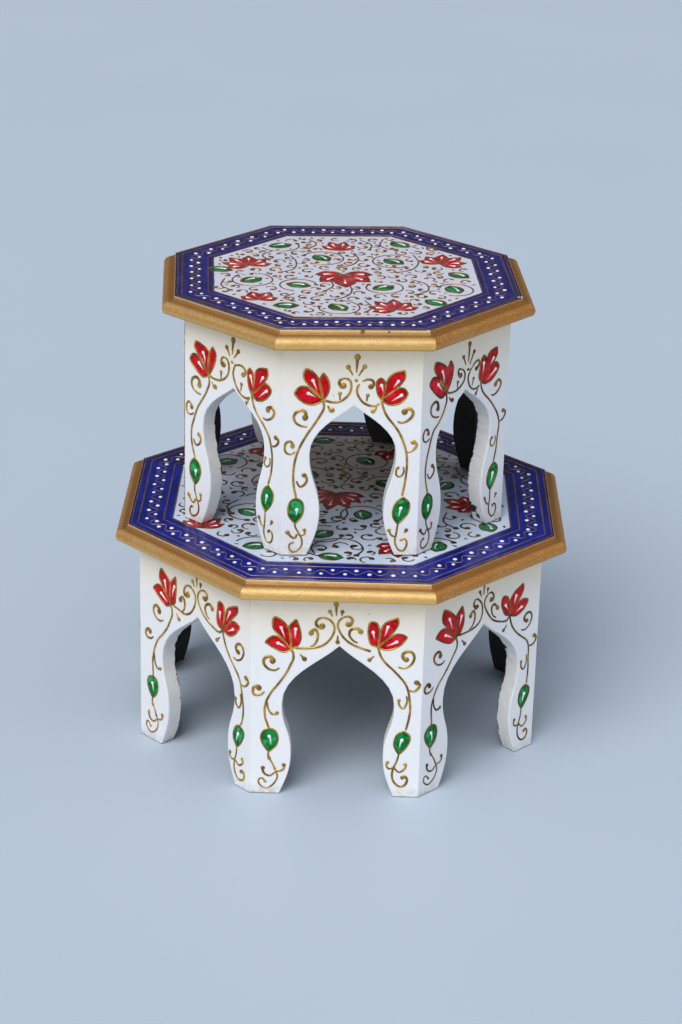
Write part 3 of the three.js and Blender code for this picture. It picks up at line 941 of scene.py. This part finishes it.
def white_enamel(name, tail):
    """Raised white paint, letting the colour under it through where the stroke thins."""
    paint = Paint(name)
    cloud = paint.noise(300.0)
    white = paint.mix(cloud, (0.86, 0.87, 0.90), (0.95, 0.95, 0.96))
    colour = paint.mix(paint.depth().step(0.1, 0.6), tail, white)
    rough = cloud.step(0.3, 0.7, 0.12, 0.22)
    return paint.finish(base_color=colour, roughness=rough, normal=paint.bump(cloud, 0.06 * MM, 0.5))


def bright_wire():
    """Drawn steel wire, with fine lines along it."""
    paint = Paint("bright_wire")
    stretched = paint.add("ShaderNodeVectorMath", (paint.coords, (1.0, 1.0, 0.05)), operation="MULTIPLY")
    lines = paint.noise(3000.0, at=stretched)
    colour = paint.mix(lines, (0.35, 0.34, 0.33), (0.62, 0.61, 0.6))
    rough = lines.step(0.3, 0.7, 0.28, 0.42)
    normal = paint.bump(lines, 0.02 * MM, 0.4)
    return paint.finish(base_color=colour, metallic=1.0, roughness=rough, normal=normal)


RELIEF_GOLD = relief_gold("relief_gold", (0.25, 0.135, 0.018), (0.64, 0.395, 0.075))
# a darker gold for the panels on the unlit side: painted shade
SHADED_RELIEF_GOLD = relief_gold("old_gold", (0.065, 0.034, 0.006), (0.32, 0.17, 0.030))
TOP_GOLD = relief_gold("top_gold", (0.27, 0.13, 0.045), (0.50, 0.27, 0.11))
DARK_GOLD = relief_gold("dark_gold", (0.11, 0.06, 0.02), (0.28, 0.16, 0.06))
BORDER_GOLD = relief_gold("border_gold", (0.22, 0.14, 0.09), (0.38, 0.25, 0.15))
ENAMEL_RED = enamel("enamel_red", 0.12, (0.20, 0.002, 0.005), (0.42, 0.001, 0.006), (0.72, 0.004, 0.014),
                    (0.82, 0.010, 0.040))
TOP_RED = enamel("top_red", 0.3, (0.20, 0.02, 0.015), (0.30, 0.003, 0.010), (0.56, 0.018, 0.032),
                 (0.62, 0.08, 0.10))
ENAMEL_GREEN = enamel("enamel_green", 0.12, (0.004, 0.07, 0.012), (0.001, 0.11, 0.018),
                      (0.004, 0.25, 0.055), (0.04, 0.45, 0.15))
TOP_GREEN = enamel("top_green", 0.3, (0.010, 0.05, 0.014), (0.004, 0.085, 0.022), (0.014, 0.20, 0.060),
                   (0.05, 0.32, 0.13))
WHITE_ON_RED = white_enamel("white_on_red", (0.80, 0.16, 0.20))
WHITE_ON_GREEN = white_enamel("white_on_green", (0.25, 0.70, 0.42))
WHITE_DOT = white_enamel("white_dot", (0.80, 0.82, 0.88))
BRIGHT_WIRE = bright_wire()


# Panels

def pull(point, places, pulls):
    """Moves a point of the drawing by the blend of the pulls around it."""
    total = 0.0
    shift = [0.0, 0.0]
    for place, (across, up) in zip(places, pulls):
        weight = 1 / (math.dist(point, place) ** 2 + PULL_REACH ** 2) ** 2
        total += weight
        shift[0] += weight * across
        shift[1] += weight * up
    return point[0] + shift[0] / total, point[1] + shift[1] / total


def panel_pulls(name):
    """The pulls of a panel, which are its own list or small ones drawn by lot."""
    if name in PULLS:
        return PULLS[name]
    chance = random.Random(name)
    return [(chance.uniform(-OWN_PULL, OWN_PULL), chance.uniform(-OWN_PULL, OWN_PULL)) for _ in STILL]


def unmoved(point):
    return point


def petal_sides(shape, move=unmoved):
    """The two sides of a petal or a bud: from base to tip, and back."""
    out = [move(p) for p in shape["out"]]
    back = [move(p) for p in shape["back"]]
    return smooth(out), smooth([out[-1]] + back + [out[0]])


def petal(shape, colour, gold, glint, line_width, stroke_width, rise, move=unmoved):
    """A patch of enamel with its gold outline and its white stroke."""
    out, back = petal_sides(shape, move)
    colour.dome(out + back[1:-1], rise)
    for side in (out, back):
        gold.stroke(side[::2] + side[-1:], line_width, line_width)
    if shape["glint"]:
        stroke = [move(p) for p in shape["glint"]]
        glint.stroke(stroke, stroke_width * GLINT_START, stroke_width,
                     end_dot=stroke_width * GLINT_DOT, base=rise * GLINT_BASE)


def dress_panel(table, k, drawing, places):
    """The five pieces of raised painting on one panel."""
    name = table.name + "_" + SIDES[k]
    place = table.panel_place(k)
    pulls = panel_pulls(name)
    limit = table.half_side / table.across_scale - EDGE_MARGIN

    def keep_on(across, up, half):
        """Holds a line's middle on the panel's face, clear of the arch and of the mitre."""
        edges = table.arch_edges(k, up)
        if edges and across < sum(edges) / 2:
            across = min(across, edges[0] - EDGE_MARGIN - half)
        elif edges:
            across = max(across, edges[1] + EDGE_MARGIN + half)
        return max(min(across, limit - half), half - limit), up

    def move(point):
        return pull(point, places, pulls)

    gold, red, green, red_glint, green_glint = [Relief(place, PANEL_CAP, keep_on) for _ in range(5)]
    fine = FINE_SHARE if k in SHADED_GOLD_SIDES else 1.0
    start, end = VINE_WIDTHS
    for line in drawing["vines"]:
        gold.stroke([move(p) for p in line], start * fine, end * fine, start_dot=VINE_DOT * fine)
    for kind, start in (("curls", CURL_START), ("drops", DROP_START)):
        for dot, line in drawing[kind]:
            gold.stroke([move(p) for p in line], start * fine, dot * DOT_SHARE * fine, end_dot=dot * fine)
    for shape in drawing["petals"]:
        petal(shape, red, gold, red_glint, *PANEL_PETAL, move)
    for shape in drawing["buds"]:
        petal(shape, green, gold, green_glint, *PANEL_BUD, move)
    gold.piece(name + "_vine", table, "relief_gold", SHADED_RELIEF_GOLD if k in SHADED_GOLD_SIDES else RELIEF_GOLD)
    red.piece(name + "_petals", table, "enamel_red", ENAMEL_RED)
    green.piece(name + "_buds", table, "enamel_green", ENAMEL_GREEN)
    red_glint.piece(name + "_petal_strokes", table, "dot_white", WHITE_ON_RED)
    green_glint.piece(name + "_bud_strokes", table, "dot_white", WHITE_ON_GREEN)


def seal_mitres(table, material):
    """Paint in the glue line at each corner, from the foot up to the board."""
    seam = Relief(table.world, 0)
    corner = table.face / math.cos(SIDE_ANGLE / 2)
    edge, shoulder, bottom = [corner - depth * MM for depth in MITRE_DEPTHS]
    half = MITRE_HALF * MM
    section = [(edge, 0), (shoulder, half), (bottom, half), (bottom, -half), (shoulder, -half)]
    for k in range(len(SIDES)):
        angle = SIDE_ANGLE * (k + 0.5) - math.pi / 2
        out = (math.cos(angle), math.sin(angle))
        rings = []
        for z in (table.foot + MITRE_END * MM, table.under - MITRE_END * MM):
            rings.append([(out[0] * reach - out[1] * spread, out[1] * reach + out[0] * spread, z, 0.5)
                          for reach, spread in section])
        seam.skin(rings)
    piece = seam.piece(table.name + "_mitre_paint", table, "panel_paint", material)
    piece.data.shade_flat()


# Tops

class Room:
    """Remembers where the drawing of a top is taken, so that the fill keeps clear of it."""

    cell = 10.0

    def __init__(self):
        self.taken = {}

    def take(self, points, radius):
        for x, y in points:
            self.taken.setdefault((int(x // self.cell), int(y // self.cell)), []).append((x, y, radius))

    def free(self, x, y, radius):
        column = int(x // self.cell)
        row = int(y // self.cell)
        for i in range(column - 1, column + 2):
            for j in range(row - 1, row + 2):
                for far_x, far_y, other in self.taken.get((i, j), []):
                    if math.hypot(x - far_x, y - far_y) < radius + other:
                        return False
        return True


def octagon_reach(x, y):
    """How far out a point of a top lies, square to the side that it is nearest to."""
    return max(abs(x), abs(y), (abs(x) + abs(y)) * math.sqrt(0.5))


def fan_petals(x, y, heading, count, length, spread):
    """A lotus seen from the side: petals that spread from its base, the middle one longest."""
    shapes = []
    for i in range(count):
        share = i / (count - 1) * 2 - 1
        angle = math.radians(heading + share * spread)
        reach = length * (1 - OUTER_LOSS * abs(share))
        ahead = (math.cos(angle), math.sin(angle))
        side = (-ahead[1], ahead[0])
        wide = length * PETAL_WIDTH * math.sin(math.radians(spread) / (count - 1))

        def at(along, aside):
            return (x + ahead[0] * along * reach + side[0] * aside,
                    y + ahead[1] * along * reach + side[1] * aside)

        shapes.append(dict(
            out=[at(0.02, 0), at(0.3, wide * 0.8), at(0.65, wide), at(1, 0)],
            back=[at(0.65, -wide), at(0.3, -wide * 0.8)],
            glint=[at(0.38, 0), at(0.55, 0), at(0.72, 0)]))
    return shapes


def leaf_shape(x, y, heading):
    """A pointed leaf with its middle at (x, y)."""
    angle = math.radians(heading)

    def at(along, aside):
        return (x + math.cos(angle) * along - math.sin(angle) * aside,
                y + math.sin(angle) * along + math.cos(angle) * aside)

    return dict(
        out=[at(-7.4, 0), at(-3.8, 4.1), at(2, 4.8), at(7.0, 0.3)],
        back=[at(2.8, -4.4), at(-3.4, -4.3)],
        glint=[at(-4.0, 0.6), at(-0.6, 1.5), at(3.0, 1.2)])


def comma(gold, x, y, radius, start, way, fill, chance):
    """A line that curls in on itself and ends in a dot."""
    spiral = arc(x, y, radius, start, way * chance.uniform(*COMMA_TURN), chance.uniform(*COMMA_GROWTH))
    dot = fill["dot"] * chance.uniform(*DOT_SIZES)
    gold.stroke(spiral, fill["line"] * 0.9, fill["line"] * 1.5, end_dot=dot)


def curled_vine(gold, room, line, fill, chance):
    """A long vine with a dot at its end, and commas that spring from its sides in turn."""
    gold.stroke(line, fill["line"], fill["line"] * 1.3, end_dot=fill["dot"])
    curve = smooth(line)
    far = lengths(curve)
    way = chance.choice((-1, 1))
    station = fill["spacing"] * 0.5
    while station < far[-1] - fill["spacing"] * 0.3:
        here = point_at(curve, far, station)
        ahead = point_at(curve, far, min(station + 0.5, far[-1]))
        turn = math.degrees(math.atan2(ahead[1] - here[1], ahead[0] - here[0]))
        radius = chance.uniform(*fill["curls"][1])
        aside = math.radians(turn + 90 * way)
        middle = (here[0] + math.cos(aside) * radius, here[1] + math.sin(aside) * radius)
        if room.free(*middle, radius * 0.7):
            comma(gold, *middle, radius, turn - 90 * way, way, fill, chance)
            room.take([middle], radius + 0.3)
        way = -way
        station += fill["spacing"] * chance.uniform(0.8, 1.2)
    room.take(curve[::2], VINE_ROOM)


def fill_field(gold, room, limit, fill, chance):
    """Commas, then drops and dots, scattered over what the flowers and scrolls leave free."""
    for least, most in fill["curls"]:
        for _ in range(COMMA_TRIES):
            x = chance.uniform(-limit, limit)
            y = chance.uniform(-limit, limit)
            radius = chance.uniform(least, most)
            if octagon_reach(x, y) > limit - radius - 0.6 or not room.free(x, y, radius + COMMA_ROOM):
                continue
            comma(gold, x, y, radius, chance.uniform(0, 360), chance.choice((-1, 1)), fill, chance)
            room.take([(x, y)], radius + COMMA_ROOM)
    for _ in range(DROP_TRIES):
        x = chance.uniform(-limit, limit)
        y = chance.uniform(-limit, limit)
        if octagon_reach(x, y) > limit - 1.6 or not room.free(x, y, fill["drop"]):
            continue
        turn = math.radians(chance.uniform(0, 360))
        half = chance.uniform(*DROP_HALVES)
        across = math.cos(turn) * half
        up = math.sin(turn) * half
        line = [(x - across, y - up), (x + across, y + up)]
        gold.stroke(line, *DROP_WIDTHS, end_dot=chance.uniform(*DROP_DOTS))
        room.take([(x, y)], fill["drop"])


def dress_top(table, border, flowers, leaves, stems, fill, cap, vine_gold):
    """The seven pieces of raised painting on a top."""
    chance = random.Random(table.name)
    place = table.top_place()
    gold, red, green, red_glint, green_glint, edging, dots = [Relief(place, cap) for _ in range(7)]
    limit = border["white"] - FIELD_MARGIN
    room = Room()
    for flower in flowers:
        for shape in fan_petals(*flower):
            petal(shape, red, gold, red_glint, *TOP_PETAL, cap * TOP_RISE)
            out, back = petal_sides(shape)
            room.take(out[::3] + back[::3], PETAL_ROOM)
    for x, y, heading, radius in leaves:
        shape = leaf_shape(x, y, heading)
        petal(shape, green, gold, green_glint, *TOP_LEAF, cap * TOP_RISE)
        out, back = petal_sides(shape)
        room.take(out[::3] + back[::3] + [(x, y)], PETAL_ROOM)
        if radius:
            start = chance.uniform(0, 360)
            sweep = chance.choice((-1, 1)) * chance.uniform(*SCROLL_TURN)
            line = arc(x, y, radius, start, sweep, SCROLL_GROWTH)
            line = [p for p in line if octagon_reach(*p) < limit - 0.8]
            if len(line) > 4:
                gold.stroke(line, fill["line"], fill["line"] * 1.2, start_dot=0.8, end_dot=fill["dot"])
                room.take(smooth(line)[::2], SCROLL_ROOM)
    for line in stems:
        curled_vine(gold, room, line, fill, chance)
    fill_field(gold, room, limit, fill, chance)
    for apothem, width in border["lines"]:
        edging.ring(apothem, width)
    for k in range(len(SIDES)):
        wave_side(edging, dots, border, k, chance)
    gold.piece(table.name + "_top_vine", table, "relief_gold", vine_gold)
    red.piece(table.name + "_top_petals", table, "enamel_red", TOP_RED)
    green.piece(table.name + "_top_leaves", table, "enamel_green", TOP_GREEN)
    red_glint.piece(table.name + "_top_petal_strokes", table, "dot_white", WHITE_ON_RED)
    green_glint.piece(table.name + "_top_leaf_strokes", table, "dot_white", WHITE_ON_GREEN)
    edging.piece(table.name + "_top_border", table, "relief_gold", BORDER_GOLD)
    dots.piece(table.name + "_top_dots", table, "dot_white", WHITE_DOT)


def wave_side(edging, dots, border, k, chance):
    """One side of the border: a gold wave, with a white dot in each of its bends."""
    angle = SIDE_ANGLE * k
    length = 2 * border["wave"] * math.tan(SIDE_ANGLE / 2)

    def at(along, out):
        return (math.sin(angle) * out + math.cos(angle) * along,
                -math.cos(angle) * out + math.sin(angle) * along)

    periods = border["periods"]
    steps = periods * WAVE_STEPS
    line = []
    for i in range(steps + 1):
        share = i / steps
        out = border["wave"] + border["swing"] * math.sin(2 * math.pi * periods * share)
        line.append(at((share - 0.5) * length, out))
    edging.stroke(line, WAVE_WIDTH, WAVE_WIDTH)
    for i in range(periods * 2):
        share = (i + 0.5) / (periods * 2)
        out = border["inner"] if i % 2 == 0 else border["outer"]
        x, y = at((share - 0.5) * length + chance.uniform(-0.6, 0.6), out + chance.uniform(-0.35, 0.35))
        dots.blob(x, y, border["dot"] * chance.uniform(*DOT_SIZES), border["rise"])


# Stage, light and camera

FLOOR_HALF = 9.0
SEEN_SKY = 0.66
CAMERA_PLACE = (0.01003, -1.35282, 0.69908)
CAMERA_ANGLES = (0.459, 23.028, 1.456)  # turned left, dipped and rolled, in degrees
CAMERA_LENS = 88.70
SENSOR_HEIGHT = 36


def make_stage():
    """A plain, pale floor."""
    mesh = bpy.data.meshes.new("floor")
    ways = [(-1, -1), (1, -1), (1, 1), (-1, 1)]
    mesh.from_pydata([(x * FLOOR_HALF, y * FLOOR_HALF, 0) for x, y in ways], [], [(0, 1, 2, 3)])
    paint = Paint("floor_pale")
    colour = paint.mix(paint.noise(3.0), (0.49, 0.58, 0.70), (0.52, 0.61, 0.73))
    mesh.materials.append(paint.finish(base_color=colour, roughness=0.55))
    floor = bpy.data.objects.new("floor", mesh)
    bpy.context.scene.collection.objects.link(floor)


def make_world():
    """A pale sky, brightest overhead and in front, and plain and pale where the camera sees it."""
    world = bpy.data.worlds.new("studio")
    bpy.context.scene.world = world
    world.use_nodes = True
    nodes = Nodes(world.node_tree)
    sky = nodes.tree.nodes["Background"]
    x, y, z = nodes.split(nodes.add("ShaderNodeTexCoord", output="Generated"))
    light = z.ramp(0.0, 1.0, 0.04, 0.86) * y.ramp(-0.6, 0.6, 1.0, 0.4)
    seen = nodes.add("ShaderNodeLightPath", output="Is Camera Ray")
    nodes.put(sky.inputs["Strength"], nodes.add("ShaderNodeMix", {0: seen, 2: light, 3: SEEN_SKY}))
    nodes.put(sky.inputs["Color"], (0.87, 0.93, 1.0))


def add_sun(name, toward, strength, width, colour):
    """A wide, soft light from a direction that is given as seen from the tables."""
    sun = bpy.data.lights.new(name, "SUN")
    sun.energy = strength
    sun.angle = math.radians(width)
    sun.color = colour
    holder = bpy.data.objects.new(name, sun)
    holder.rotation_euler = Vector(toward).to_track_quat("Z", "Y").to_euler()
    bpy.context.scene.collection.objects.link(holder)


def make_camera():
    """The camera stands in front, a little above, and is turned, dipped and rolled by small angles."""
    turn, dip, roll = [math.radians(angle) for angle in CAMERA_ANGLES]
    ahead = Vector((-math.sin(turn) * math.cos(dip), math.cos(turn) * math.cos(dip), -math.sin(dip)))
    right = ahead.cross(Vector((0, 0, 1))).normalized()
    up = right.cross(ahead)
    across = right * math.cos(roll) + up * math.sin(roll)
    upward = up * math.cos(roll) - right * math.sin(roll)
    camera = bpy.data.cameras.new("camera")
    camera.sensor_fit = "VERTICAL"
    camera.sensor_height = SENSOR_HEIGHT
    camera.lens = CAMERA_LENS
    camera.clip_start = 0.05
    holder = bpy.data.objects.new("camera", camera)
    turned = Matrix((across, upward, -ahead)).transposed().to_4x4()
    holder.matrix_world = Matrix.Translation(CAMERA_PLACE) @ turned
    bpy.context.scene.collection.objects.link(holder)
    bpy.context.scene.camera = holder


LARGE = Table("large", 0.0, LARGE_DRAWN)
SMALL = Table("small", SMALL_TURN, SMALL_DRAWN)
LARGE_DRAWING = dict(
    petals=LARGE_PETALS, buds=LARGE_BUDS, vines=LARGE_VINES, curls=LARGE_CURLS, drops=LARGE_DROPS)
SMALL_DRAWING = dict(
    petals=SMALL_PETALS, buds=SMALL_BUDS, vines=SMALL_VINES, curls=SMALL_CURLS, drops=SMALL_DROPS)
LARGE_SIDE_DRAWING = dict(LARGE_DRAWING, vines=LARGE_SIDE_VINES, drops=LARGE_DROPS[:-1])
SMALL_SIDE_DRAWING = dict(SMALL_DRAWING, vines=SMALL_SIDE_VINES)

make_camera()
for table, border, chips in ((LARGE, LARGE_BORDER, LARGE_CHIPS), (SMALL, SMALL_BORDER, SMALL_CHIPS)):
    panel_material = panel_paint(table, chips)
    finishes = {"board": board_paint(table, border), "panel": panel_material, "pin": BRIGHT_WIRE}
    for node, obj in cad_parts.items():
        if node.startswith(table.name):
            obj.material_slots[0].material = finishes[node.rsplit("_", 1)[1]]
    seal_mitres(table, panel_material)
for k in range(len(SIDES)):
    dress_panel(LARGE, k, LARGE_SIDE_DRAWING if k else LARGE_DRAWING, LARGE_PLACES)
    dress_panel(SMALL, k, SMALL_SIDE_DRAWING if k else SMALL_DRAWING, SMALL_PLACES)
dress_top(LARGE, LARGE_BORDER, LARGE_FLOWERS, LARGE_LEAVES, LARGE_STEMS, LARGE_FILL, LARGE_TOP_CAP,
          DARK_GOLD)
dress_top(SMALL, SMALL_BORDER, SMALL_FLOWERS, SMALL_LEAVES, SMALL_STEMS, SMALL_FILL, SMALL_TOP_CAP,
          TOP_GOLD)

make_stage()
make_world()
add_sun("key", (-0.5, -0.9, 1.25), 2.05, 40, (1.0, 0.98, 0.95))
add_sun("low", (-0.05, -1.0, 0.2), 0.52, 50, (1.0, 0.97, 0.92))
add_sun("fill", (0.9, -0.5, 1.0), 0.27, 90, (0.93, 0.96, 1.0))
bpy.context.scene.view_settings.view_transform = "Standard"
